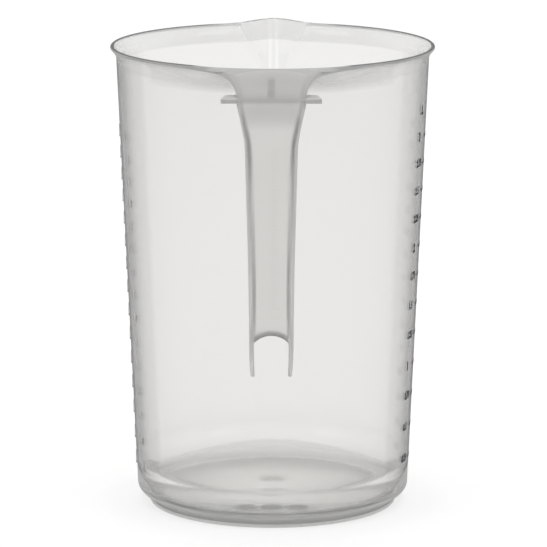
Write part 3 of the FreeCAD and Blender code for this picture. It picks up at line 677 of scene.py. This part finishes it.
handle = {
    "skin": 2.0,
    "cornerRadius": 2.6,
    "innerRadius": 0.8,
    "edgeRadius": 0.6,
    "skinShares": (0.0, 0.25, 0.45, 0.62, 0.78, 0.9),  # where the top skin's points are, from the middle to the corner
    "skinBow": 2.5,
    "fine": 5,  # rings between two stations
    "easing": 6,
    # Stations along the shoulder, in millimetres: middle of the top skin (y, z), top skin at its corner (y, z),
    # free edge (y, z), half width at the corner and at the free edge, turn of the skin from level in degrees
    "shoulder": [
        (-86.4, 237.40, -74.0, 237.1, -74.0, 235.3, 36.0, 36.3, 0),
        (-87.2, 237.40, -80.0, 236.5, -80.0, 234.4, 27.7, 28.1, 0),
        (-88.3, 237.40, -84.0, 235.7, -84.0, 233.3, 23.7, 24.2, 0),
        (-91.3, 237.40, -89.6, 234.9, -89.6, 231.7, 20.5, 20.9, 0),
        (-94.0, 237.33, -93.4, 234.6, -93.6, 230.2, 18.9, 19.3, 4),
        (-99.2, 236.45, -99.1, 234.2, -98.4, 228.7, 17.5, 17.9, 15),
        (-106.0, 233.65, -105.4, 232.0, -102.2, 227.2, 16.6, 17.3, 30),
        (-111.8, 229.20, -110.7, 228.1, -104.0, 225.4, 16.0, 17.2, 45),
        (-116.25, 223.40, -115.5, 222.9, -104.0, 221.8, 15.4, 16.9, 60),
        (-119.05, 216.65, -118.6, 216.5, -104.0, 216.0, 14.0, 15.5, 75),
        (-120.0, 209.40, -119.8, 209.4, -104.0, 209.2, 12.6, 14.1, 90),
        (-120.0, 204.4, -119.9, 204.4, -104.0, 204.4, 11.7, 13.2, 90),
    ],
    # Stations down the upright grip: height, place of the free edge, half width at the corner and at the free edge
    "front": -120.0,
    "grip": [
        (197.0, -104.0, 11.4, 12.85),
        (171.0, -104.0, 10.7, 12.2),
        (152.6, -104.0, 10.2, 11.65),
        (135.7, -104.0, 9.8, 11.3),
        (121.0, -104.0, 9.9, 11.1),
        (115.4, -104.0, 10.15, 11.0),
        (107.4, -107.6, 10.45, 10.95),
        (99.4, -111.3, 10.5, 10.85),
        (93.5, -114.0, 10.2, 10.45),
        (91.8, -114.7, 10.1, 10.3),
        (90.9, -116.4, 10.0, 10.2),
    ],
}


def cornerArc(start, depth, radius):
    # from the skin round into the side
    turns = np.linspace(0, math.pi / 2, 6)
    return [(start + radius * math.sin(a), depth + radius - radius * math.cos(a)) for a in turns]


def handleRings(sizes):
    front = sizes["front"]
    upright = [(front, z, front, z, free, z, halfTop, halfFree, 90) for z, free, halfTop, halfFree in sizes["grip"]]
    coarse = np.array(sizes["shoulder"] + upright, float)
    along = np.linspace(0, len(coarse) - 1, (len(coarse) - 1) * sizes["fine"] + 1)
    knots = np.arange(len(coarse))
    table = np.array([np.interp(along, knots, coarse[:, c]) for c in range(coarse.shape[1])]).T
    for _ in range(sizes["easing"]):  # eases the corners between stations, the ends stay
        table[1:-1] = 0.25 * table[:-2] + 0.5 * table[1:-1] + 0.25 * table[2:]
    skin, edge, innerBow = sizes["skin"], sizes["edgeRadius"], sizes["innerRadius"]
    rings = []
    for topY, topZ, sideY, sideZ, freeY, freeZ, halfTop, halfFree, turn in table:
        inward = np.array([math.sin(math.radians(turn)), -math.cos(math.radians(turn))])
        side = np.array([sideY, sideZ])
        down = np.array([freeY, freeZ]) - (side + inward * skin)
        depth = max(float(np.hypot(*down)), 0.05)
        down = down / depth
        total = skin + depth

        def at(x, q):
            # x across, q down from the top skin
            share = min(1.0, abs(x) / halfTop) ** sizes["skinBow"]
            base = np.array([topY, topZ]) * (1 - share) + side * share
            p = base + inward * min(q, skin) + down * max(q - skin, 0.0)
            return (x, p[0], p[1])

        def sideX(q):
            return halfTop + (halfFree - halfTop) * q / total

        bow = min(sizes["cornerRadius"], total * 0.45)
        outer = [(share * (halfTop - bow), 0.0) for share in sizes["skinShares"]]
        outer += cornerArc(halfTop - bow, 0.0, bow)
        outer += [(sideX(q), q) for q in np.linspace(bow, total - edge, 6)[1:]]
        innerHalf = halfTop - skin - innerBow
        inner = [(share * innerHalf, skin) for share in sizes["skinShares"]]
        inner += cornerArc(innerHalf, skin, innerBow)
        lowest = max(total - edge, skin + innerBow)
        inner += [(sideX(q) - skin, q) for q in np.linspace(skin + innerBow, lowest, 6)[1:]]
        tip = [(sideX(total) - edge, total), (sideX(total) - skin + edge, total)]
        right = outer + tip + inner[::-1]
        rings.append([at(x, q) for x, q in right] + [at(-x, q) for x, q in right[::-1]][1:-1])
    return rings, len(outer)


def handleLoft(sizes):
    rings, outerCount = handleRings(sizes)
    size = len(rings[0])
    points = np.array([p for ring in rings for p in ring]) * mm
    faces = []
    for k in range(len(rings) - 1):
        for i in range(size):
            j = (i + 1) % size
            faces.append((k * size + i, k * size + j, (k + 1) * size + j, (k + 1) * size + i))
    half = outerCount * 2 + 2  # points on the right side, ends included

    def cap(first, flip):
        strips = []
        for i in range(outerCount - 1):
            right = (i, i + 1, half - 2 - i, half - 1 - i)
            strips += [right, tuple((size - q) % size for q in right)[::-1]]
        tip = tuple(range(outerCount - 1, outerCount + 3))
        strips += [tip, tuple(size - q for q in tip)[::-1]]
        return [tuple(first + q for q in (s[::-1] if flip else s)) for s in strips]

    faces += cap(0, True) + cap((len(rings) - 1) * size, False)
    return meshOf("handleLoft", points, faces)


def prism(name, outline, axis, low, high):
    # a closed plan pushed along one axis, both in millimetres
    def spot(a, b, c):
        return {"x": (c, a, b), "y": (a, c, b), "z": (a, b, c)}[axis]

    count = len(outline)
    points = np.array([spot(a, b, low) for a, b in outline] + [spot(a, b, high) for a, b in outline]) * mm
    faces = [tuple(range(count))[::-1], tuple(range(count, 2 * count))]
    faces += [(i, (i + 1) % count, count + (i + 1) % count, count + i) for i in range(count)]
    return recalculated(placed(name, meshOf(name, points, faces)))


def roundedCorners(outline, steps=5):
    # replaces the corners of a plan (x, y and radius) by arcs
    out = []
    spots = [Vector(corner[:2]) for corner in outline]
    for i, (here, (_, _, radius)) in enumerate(zip(spots, outline)):
        before = (spots[i - 1] - here).normalized()
        after = (spots[(i + 1) % len(spots)] - here).normalized()
        if radius <= 0:
            out.append(tuple(here))
            continue
        opening = before.angle(after)
        reach = radius / math.tan(opening / 2)
        middle = here + (before + after).normalized() * (radius / math.sin(opening / 2))
        first = (here + before * reach) - middle
        last = (here + after * reach) - middle
        sweep = first.angle_signed(last)
        for k in range(steps + 1):
            turned = first.copy()
            turned.rotate(Matrix.Rotation(-sweep * k / steps, 2))
            out.append(tuple(middle + turned))
    return out


plate = {
    "low": 224.1,
    "high": 226.1,
    "back": (22.4, -96.0, 2.5),  # half width, place and corner radius of the wings' ends
    "front": (24.7, -111.0, 1.0),
    "inside": (15.2, -113.0),  # within the handle
}
rib = {
    "half": 0.9,
    "outline": [(-80.0, 225.5), (-113.0, 225.5), (-105.0, 232.4), (-88.0, 236.4), (-85.0, 236.4)],
}
arch = {
    "foot": 107.5,
    "halfSpan": 8.5,
    "outerHalfSpan": 9.9,
    "radius": 11.4,
    "sheet": 2.0,
    "opening": (8.3, 80.0),  # half width and lower end
    "openingDepth": (-123.0, -117.0),
    "shelfDepth": (-119.0, -110.0),
}


def stopPlate(sizes):
    inner, end = sizes["inside"]
    corners = [sizes["back"], sizes["front"], (inner, sizes["front"][1], 0.0), (inner, end, 0.0)]
    outline = [(-x, y, radius) for x, y, radius in corners] + corners[::-1]
    return prism("stopPlate", roundedCorners(outline), "z", sizes["low"], sizes["high"])


def archCurve(halfSpan, foot, radius, steps=16):
    middle = foot - math.sqrt(radius**2 - halfSpan**2)
    start = math.asin(halfSpan / radius)
    return [(radius * math.sin(a), middle + radius * math.cos(a)) for a in np.linspace(-start, start, steps + 1)]


def archTools(sizes):
    # what is cut out of the grip's lower end, and the shelf that lines the cut
    lower = archCurve(sizes["halfSpan"], sizes["foot"], sizes["radius"])
    upper = archCurve(sizes["outerHalfSpan"], sizes["foot"], sizes["radius"] + sizes["sheet"])
    half, low = sizes["opening"]
    doorway = prism("archOpening", [(-half, low)] + lower + [(half, low)], "y", *sizes["openingDepth"])
    shelf = prism("archShelf", lower + upper[::-1], "y", *sizes["shelfDepth"])
    return [("DIFFERENCE", doorway), ("UNION", shelf)]


insertDiscs = {
    "Count": 3,
    "Pitch": 12.9,
    "Offset": -49.5,
    "Radius": 5.9,
    "Rise": 0.45,
    "Root": 0.6,
    "Crown": 9.2,
    "Fall": 2.6 / 57.3**2,  # of the floor, per square millimetre from the middle
    "Finish": clearMoulding,
}
gripLadder = {
    "Count": 41,
    "Low": 124.0,
    "Pitch": 1.95,
    "Front": -120.0,
    "Short": 2.2,
    "Long": 4.0,
    "Group": 5.0,  # every fifth line is long
    "Line": 0.7,
    "Proud": 0.35,
    "Root": 0.5,
    "Finish": clearMoulding,
}
litreScale = {
    "figures": {"whole": (4.2, -11.4, 0.05, -0.4), "part": (3.6, -12.8, 0.03, 0.2)},  # height, left edge, bold, foot
    "unit": ("L", 3.0, 13.0),  # how far right and up from the last figure
    "count": 12,
    "step": 0.25,
    "lift": 0.9,  # of the marks above the level they stand for
    "depth": (0.02, 0.12),
    "Azimuth": -0.175,
    "Mark Width": 12.5,
    "Mark Height": 1.1,
    "Mark Shift": 7.6,
    "Sink": -0.02,
    "Proud": 0.12,
    "Lean": 0.0,
    "Finish": inkFinish,
}
reliefBars = {
    "Azimuth": math.pi,
    "Mark Width": 7.5,
    "Mark Height": 5.6,
    "Mark Shift": 1.5,
    "Sink": 0.5,
    "Proud": 0.25,
    "Lean": 0.0441,
    "Finish": clearMoulding,
}
reliefFigures = {
    "count": 15,
    "step": 0.2,
    "height": 4.0,
    "foot": 0.4,
    "depth": (-0.5, 0.45),
    "azimuths": {"reliefRight": 15.5, "reliefLeft": 197.0},
}
lettering = {"thickness": 0.5, "resolution": 3, "capHeight": 0.70, "overshoot": 0.01}


def markHeight(litres):
    # where so many litres stand in the tapered vessel
    slope, datum = wallSlope(), vesselProfile["litreDatum"]
    low = outerRadius(datum) - vessel["Wall"]
    return datum + ((low**3 + 3 * slope * litres * 1e6 / math.pi) ** (1 / 3) - low) / slope


def writtenPoints(text, height, bold, left, low, depth):
    # one figure, upright and flat: across, depth, height in millimetres
    curve = bpy.data.curves.new("figure", "FONT")
    curve.body, curve.extrude, curve.offset = text, lettering["thickness"], bold
    curve.resolution_u = lettering["resolution"]
    mesh = plainMesh(placed("figure", curve))
    spots = np.array([v.co[:] for v in mesh.vertices])
    faces = [tuple(f.vertices) for f in mesh.polygons]
    bpy.data.meshes.remove(mesh)
    scale = height / lettering["capHeight"]
    across = (spots[:, 0] - spots[:, 0].min()) * scale + left
    upward = (spots[:, 1] - max(spots[:, 1].min(), -lettering["overshoot"])) * scale + low
    inward = np.where(spots[:, 2] > 0, depth[1], depth[0])
    return np.column_stack([across, inward, upward]), faces


def flatScale(name, figures, marks):
    # figures as a mesh, marks as loose points that the tree turns into bars
    points, faces = [], []
    for spots, shapes in figures:
        faces += [tuple(len(points) + q for q in shape) for shape in shapes]
        points += [tuple(p) for p in spots]
    first = len(points)
    points += [(0.0, 0.0, z) for z in marks]
    mesh = meshOf(name, points, faces)
    attribute = mesh.attributes.new("mark", "FLOAT", "POINT")
    attribute.data.foreach_set("value", [float(i >= first) for i in range(len(points))])
    return mesh


def wallScaleTree(name, sizes):
    # bars and figures, bent round the tapered wall
    nodes, size = geometryTree(name, sizes)
    isMark = nodes.add("GeometryNodeInputNamedAttribute", Name="mark").maths("GREATER_THAN", 0.5)
    span = nodes.vector(X=size["Mark Width"], Y=size["Proud"] + size["Sink"], Z=size["Mark Height"])
    block = nodes.add("GeometryNodeMeshCube", Size=span, Vertices_X=7)
    x, y, z = nodes.split(nodes.add("GeometryNodeInputPosition"))
    lean = y.maths("GREATER_THAN", 0.0) * size["Lean"] * (size["Mark Height"] * 0.5 - z)
    block = nodes.add("GeometryNodeSetPosition", Geometry=block, Offset=nodes.vector(Y=lean))
    middle = nodes.vector(X=size["Mark Shift"], Y=(size["Proud"] - size["Sink"]) * 0.5, Z=size["Mark Height"] * 0.5)
    block = nodes.add("GeometryNodeTransform", Geometry=block, Translation=middle)
    bars = nodes.add("GeometryNodeInstanceOnPoints", Points=size["Geometry"], Selection=isMark, Instance=block)
    figures = nodes.add("GeometryNodeDeleteGeometry", Geometry=size["Geometry"], Selection=isMark)
    flat = nodes.add("GeometryNodeRealizeInstances", Geometry=nodes.join(bars, figures))
    wall = size["Base Radius"] + size["Slope"] * z
    turn = size["Azimuth"] + x / wall
    where = nodes.vector(X=turn.maths("COSINE") * (wall + y), Y=turn.maths("SINE") * (wall + y), Z=z)
    closeTree(nodes, nodes.add("GeometryNodeSetPosition", Geometry=flat, Position=where), size["Finish"])
    return nodes


def wallScale(name, sizes, figures, marks):
    # the sizes with a capital are the tree's inputs
    given = {key: value for key, value in sizes.items() if key[0].isupper()}
    given["Base Radius"] = vesselProfile["baseRadius"]
    given["Slope"] = wallSlope()
    return grown(name, flatScale(name, figures, marks), wallScaleTree(name, given), given)


def insertDiscTree(sizes):
    nodes, size = geometryTree("insertDiscRow", sizes)
    row = nodes.add(
        "GeometryNodeMeshLine",
        Count=size["Count"],
        Start_Location=nodes.vector(X=size["Pitch"] * -1.0, Y=size["Offset"]),
        Offset=nodes.vector(X=size["Pitch"]),
    )
    disc = nodes.add("GeometryNodeMeshCylinder", Vertices=48, Radius=size["Radius"], Depth=1.0)
    line = nodes.add("GeometryNodeInstanceOnPoints", Points=row, Instance=disc)
    flat = nodes.add("GeometryNodeRealizeInstances", Geometry=line)
    x, y, z = nodes.split(nodes.add("GeometryNodeInputPosition"))
    floor = size["Crown"] - (x * x + y * y) * size["Fall"]
    height = floor + (z + 0.5) * (size["Rise"] + size["Root"]) - size["Root"]
    where = nodes.vector(X=x, Y=y, Z=height)
    closeTree(nodes, nodes.add("GeometryNodeSetPosition", Geometry=flat, Position=where), size["Finish"])
    return nodes


def gripLadderTree(sizes):
    nodes, size = geometryTree("gripLadderRows", sizes)
    row = nodes.add(
        "GeometryNodeMeshLine",
        Count=size["Count"],
        Start_Location=nodes.vector(Y=size["Front"], Z=size["Low"]),
        Offset=nodes.vector(Z=size["Pitch"]),
    )
    bar = nodes.add("GeometryNodeMeshCube", Size=nodes.vector(X=1.0, Y=size["Proud"] + size["Root"], Z=size["Line"]))
    middle = nodes.vector(X=0.5, Y=(size["Root"] - size["Proud"]) * 0.5, Z=size["Line"] * 0.5)
    bar = nodes.add("GeometryNodeTransform", Geometry=bar, Translation=middle)
    isLong = nodes.add("GeometryNodeInputIndex").maths("MODULO", size["Group"]).maths("LESS_THAN", 0.5)
    width = size["Short"] + isLong * (size["Long"] - size["Short"])
    scale = nodes.vector(X=width, Y=1.0, Z=1.0)
    ladder = nodes.add("GeometryNodeInstanceOnPoints", Points=row, Instance=bar, Scale=scale)
    closeTree(nodes, ladder, size["Finish"])
    return nodes


def raisedDetails():
    relief = reliefFigures
    marks = [k * relief["step"] for k in range(1, relief["count"] + 1)]
    pieces = [
        grown("insertDiscs", meshOf("insertDiscs", [], []), insertDiscTree(insertDiscs), insertDiscs),
        grown("gripLadder", meshOf("gripLadder", [], []), gripLadderTree(gripLadder), gripLadder),
        wallScale("reliefBars", reliefBars, [], [markHeight(v) for v in marks]),
    ]
    for name, azimuth in relief["azimuths"].items():
        written = [
            writtenPoints(f"{v:.1f}", relief["height"], 0.0, 0.0, markHeight(v) + relief["foot"], relief["depth"])
            for v in marks
        ]
        turned = dict(reliefBars, Azimuth=math.radians(azimuth))
        pieces.append(wallScale(name, turned, written, []))
    return [recalculated(piece) for piece in pieces]


def litrePrint(sizes):
    written, marks = [], []
    for k in range(1, sizes["count"] + 1):
        volume = k * sizes["step"]
        marks.append(markHeight(volume) + sizes["lift"])
        height, left, bold, foot = sizes["figures"]["whole" if volume == int(volume) else "part"]
        written.append(writtenPoints(f"{volume:g}", height, bold, left, marks[-1] + foot, sizes["depth"]))
    height, left, bold, _ = sizes["figures"]["whole"]
    unit, right, up = sizes["unit"]
    written.append(writtenPoints(unit, height, bold, left + right, marks[-1] + up, sizes["depth"]))
    return recalculated(wallScale("litreScale", sizes, written, marks))


def mouldingParts():
    moulding = vesselShell()
    grip = recalculated(placed("grip", handleLoft(handle)))
    fin = prism("shoulderRib", rib["outline"], "x", -rib["half"], rib["half"])
    order = [("UNION", grip), *archTools(arch), ("UNION", stopPlate(plate)), ("UNION", fin)]
    order += [("UNION", raised) for raised in raisedDetails()]
    for operation, other in order:
        step = moulding.modifiers.new(other.name, "BOOLEAN")
        step.operation, step.solver, step.object = operation, "EXACT", other
    whole = finished(moulding)
    for _, other in order:
        bpy.data.objects.remove(other)
    return recalculated(whole)


moulding = mouldingParts()
moulding.data.materials.clear()
moulding.data.materials.append(clearMoulding)
smoothBelow(moulding, vesselProfile["sharpEdge"])
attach(moulding, "root")
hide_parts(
    "vessel_wall", "base_heel", "floor_panel", "foot_ring", "gate_stub", "mould_insert_discs", "rim_lip",
    "pouring_spout", "handle_shoulder", "shoulder_side_left", "shoulder_side_right", "shoulder_rib", "stop_plate",
    "grip_web", "grip_flange_left", "grip_flange_right", "grip_end_shelf", "relief_scale_left", "relief_scale_right",
    "grip_tick_scale",
)
print("moulding made:", len(moulding.data.polygons), "faces")

ink = litrePrint(litreScale)
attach(ink, "root")
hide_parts("litre_scale_print")
print("scale printed:", len(ink.data.polygons), "faces")


studio = {
    "floorHalf": 9.0,
    "floorColour": (0.80, 0.80, 0.80),
    "floorShown": (0.52, 0.52, 0.52),  # the share of the floor's white that takes the shadow
    "floorGlow": 0.57,
    "floorGlowThrough": (0.50, 0.50, 0.50),
    "underGlow": (1.05, 1.05, 1.05),  # painted light: a glow on the floor below the pitcher, for the light that the plastic passes on
    "underGlowReach": (0.062, 0.074),
    "surroundings": (0.28, 0.28, 0.285),  # what the plastic mirrors
    "backdropThrough": 0.94,  # what shows through the walls
    "worldGrey": (0.80, 0.80, 0.80),
    "white": (1.0, 1.0, 1.0),
    # place, width, power, and whether it shows in the gloss
    "softboxes": {
        "softboxLeft": ((-1.5, -1.2, 1.5), 1.0, 5.0, True),
        "softboxRight": ((1.5, -1.2, 1.5), 1.0, 5.0, True),
        "softboxTop": ((0.0, 0.5, 2.2), 1.4, 6.0, False),
    },
    "aim": (0.0, 0.0, 0.1),
    "innerSpot": (2.0, 0.07, 42.0),  # height, reach on the floor and power
}


def byRay(nodes, lit, mirrored, through, seen):
    # mirrored, seen through the plastic and seen straight each have a look of their own
    for output, shader in ((3, mirrored), (6, through), (0, seen)):
        ray = nodes.add("ShaderNodeLightPath", output=output)
        lit = nodes.add("ShaderNodeMixShader", Fac=ray, i1=lit, i2=shader)
    return lit


def studioFloor(look):
    size = look["floorHalf"]
    corners = [(-size, -size, 0), (size, -size, 0), (size, size, 0), (-size, size, 0)]
    floor = placed("studioFloor", meshOf("studioFloor", corners, [(0, 1, 2, 3)]))
    material, nodes = newMaterial("paleFloor")
    place = nodes.add("ShaderNodeTexCoord", output=3)
    speck = nodes.add("ShaderNodeTexNoise", Vector=place, Scale=60.0, Detail=3.0)
    bump = nodes.add("ShaderNodeBump", Strength=0.05, Distance=0.0005, Height=speck)
    matt = nodes.add("ShaderNodeBsdfDiffuse", Color=look["floorColour"], Normal=bump)
    shaded = nodes.add("ShaderNodeBsdfDiffuse", Color=look["floorShown"], Normal=bump)
    x, y, _ = nodes.split(place)
    # painted light pool on the floor below the pitcher
    away = rising((x * x + y * y).maths("SQRT"), *look["underGlowReach"])
    glow = nodes.blended(away, look["underGlow"], look["floorGlowThrough"])
    pale = nodes.add("ShaderNodeEmission", Color=glow, Strength=1.0)
    dim = nodes.add("ShaderNodeEmission", Color=look["surroundings"], Strength=1.0)
    bright = nodes.add("ShaderNodeEmission", Color=look["white"], Strength=look["floorGlow"])
    beyond = nodes.add("ShaderNodeAddShader", i0=shaded, i1=pale)
    front = nodes.add("ShaderNodeAddShader", i0=shaded, i1=bright)
    nodes.add("ShaderNodeOutputMaterial", Surface=byRay(nodes, matt, dim, beyond, front))
    floor.data.materials.append(material)


def studioWorld(look):
    world = bpy.data.worlds.new("softWorld")
    scene.world = world
    world.use_nodes = True
    world.node_tree.nodes.clear()
    nodes = Nodes(world.node_tree)
    looks = [(look["worldGrey"], 1.0), (look["surroundings"], 1.0), (look["white"], look["backdropThrough"])]
    looks += [(look["white"], 1.0)]
    skies = [nodes.add("ShaderNodeBackground", Color=colour, Strength=strength) for colour, strength in looks]
    nodes.add("ShaderNodeOutputWorld", Surface=byRay(nodes, *skies))


def softbox(name, spot, aim, width, power, mirrored):
    lamp = bpy.data.lights.new(name, "AREA")
    lamp.shape, lamp.size, lamp.size_y, lamp.energy = "RECTANGLE", width, width * 1.4, power
    box = placed(name, lamp)
    box.location = spot
    box.rotation_euler = (Vector(aim) - Vector(spot)).to_track_quat("-Z", "Y").to_euler()
    box.visible_camera = False
    box.visible_glossy = mirrored


def innerSpot(height, reach, power):
    # falls through the open mouth onto the pitcher's floor
    lamp = bpy.data.lights.new("innerSpot", "SPOT")
    lamp.energy, lamp.spot_size = power, 2 * math.atan(reach / height)
    lamp.spot_blend, lamp.shadow_soft_size = 0.5, 0.05
    spot = placed("innerSpot", lamp)
    spot.location = (0.0, 0.0, height)
    spot.visible_glossy = False


studioFloor(studio)
studioWorld(studio)
innerSpot(*studio["innerSpot"])
for name, (spot, width, power, mirrored) in studio["softboxes"].items():
    softbox(name, spot, studio["aim"], width, power, mirrored)

view = {"spot": (0.012, -2.10883, 0.5392), "down": 0.197, "turn": 0.00569, "lens": 275.26, "shiftX": 0.0016}
lens = bpy.data.cameras.new("studioCamera")
camera = placed("studioCamera", lens)
lens.lens, lens.sensor_width, lens.shift_x = view["lens"], 36.0, view["shiftX"]
lens.clip_end = 30.0
camera.location = view["spot"]
camera.rotation_euler = (math.pi / 2 - view["down"], 0.0, view["turn"])
scene.camera = camera
scene.view_settings.view_transform = "Standard"
print("studio ready")
